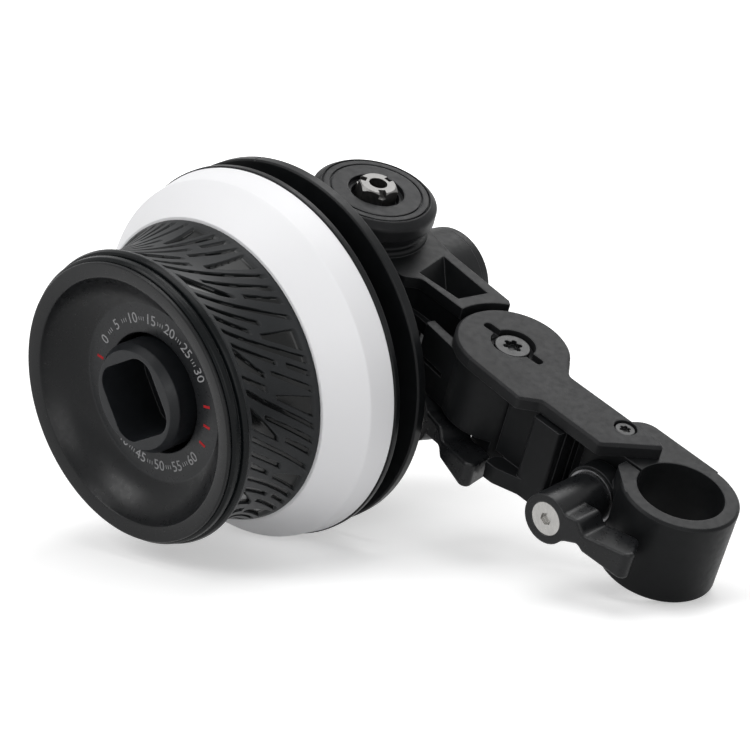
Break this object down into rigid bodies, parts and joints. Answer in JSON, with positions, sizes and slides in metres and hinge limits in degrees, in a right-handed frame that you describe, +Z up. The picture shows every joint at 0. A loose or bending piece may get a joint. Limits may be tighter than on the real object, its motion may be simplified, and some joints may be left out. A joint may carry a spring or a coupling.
{
  "type": "follow focus",
  "caption": "Hand follow focus: a grip wheel with a white marking disc on a right-angle gearbox, joined by a swing knuckle to a 15 mm rod clamp; both locked by small levers.",
  "frame": {"origin": "middle of the bounding box at table height, with the unit lying as it rests on a table: on the marking disc's edge, the gearbox's foot and the rod clamp", "axes": "+Z up from the table, +X from the handwheel's side to the rod clamp along the longest extent, -Y the side that the handwheel faces"},
  "size_m": [0.1236, 0.0884, 0.0681],
  "materials": {
    "black_anodised": "fine matt anodised",
    "black_anodised_plate": "fine matt anodised",
    "black_anodised_case": "fine matt anodised",
    "black_anodised_cap": "satin anodised, turned",
    "black_anodised_dish": "satin anodised, turned",
    "black_anodised_rim": "satin anodised, turned",
    "black_anodised_hub": "satin anodised",
    "black_anodised_index": "fine matt anodised",
    "black_anodised_backing": "satin anodised",
    "black_anodised_lever": "fine matt anodised, rounded edges",
    "dark_steel": "satin",
    "black_oxide_steel": "black oxide",
    "bright_steel": "bright, fine turned",
    "bearing_steel": "ground",
    "gear_steel": "machined, greased",
    "bronze": "machined",
    "white_washer": "smooth",
    "black_rubber": "moulded, glossy and matt bands",
    "white_plastic": "smooth satin"
  },
  "bodies": {
    "arm": {"clamp_arm": "black_anodised", "cover_plate": "black_anodised_plate", "pivot_screw": "black_oxide_steel", "cover_screw": "black_oxide_steel", "pivot_post": "dark_steel", "pivot_bush": "bronze", "thrust_washer": "white_washer", "clamp_washer": "dark_steel"},
    "clamp_lever": {"clamp_lever": "black_anodised_lever", "clamp_lever_screw": "bright_steel", "clamp_stud": "dark_steel"},
    "gearbox": {"gear_case": "black_anodised_case", "top_cap": "black_anodised_cap", "base_cap": "black_anodised_cap", "rear_cap": "black_anodised_cap", "wheel_bearings": "bearing_steel", "output_bearings": "bearing_steel", "index_plate": "black_anodised_index", "index_plate_screws": "black_oxide_steel"},
    "lock_lever": {"lock_lever": "black_anodised_lever", "lock_lever_screw": "bright_steel", "lock_stud": "dark_steel"},
    "output": {"output_gear": "gear_steel", "output_shaft": "gear_steel", "drive_dog": "bright_steel", "output_circlip": "dark_steel"},
    "wheel": {"wheel_gear": "gear_steel", "wheel_shaft": "gear_steel", "front_dish": "black_anodised_dish", "rim_ring": "black_anodised_rim", "hub_socket": "black_anodised_hub", "hub_screw": "black_oxide_steel", "wheel_core": "black_anodised", "grip_sleeve": "black_rubber", "marking_disc": "white_plastic", "disc_backing": "black_anodised_backing", "backing_screws": "black_oxide_steel"}
  },
  "joints": [
    {"name": "swing", "type": "hinge", "parent": "arm", "child": "gearbox", "pos_m": [0.01257, 0.01048, 0.03081], "axis": [0.423, -0.1282, 0.897], "range_deg": [-90, 0]},
    {"name": "clamp_lever_turn", "type": "hinge", "parent": "arm", "child": "clamp_lever", "pos_m": [0.0378, -0.00123, 0.01518], "axis": [0, 0.9899, 0.1415], "range_deg": [-90, 15]},
    {"name": "lock_lever_turn", "type": "hinge", "parent": "gearbox", "child": "lock_lever", "pos_m": [-0.00101, 0.00327, 0.02403], "axis": [0.3394, 0.9403, -0.0257], "range_deg": [0, 90]},
    {"name": "wheel_turn", "type": "hinge", "parent": "gearbox", "child": "wheel", "pos_m": [-0.02784, -0.01289, 0.03315], "axis": [0, 0.9899, 0.1415], "continuous": true},
    {"name": "output_turn", "type": "hinge", "parent": "gearbox", "child": "output", "pos_m": [-0.02023, 0.01064, 0.05299], "axis": [0.423, -0.1282, 0.897], "continuous": true}
  ],
  "couplings": [
    {"joint": "output_turn", "follows": "wheel_turn", "ratio": 1}
  ]
}
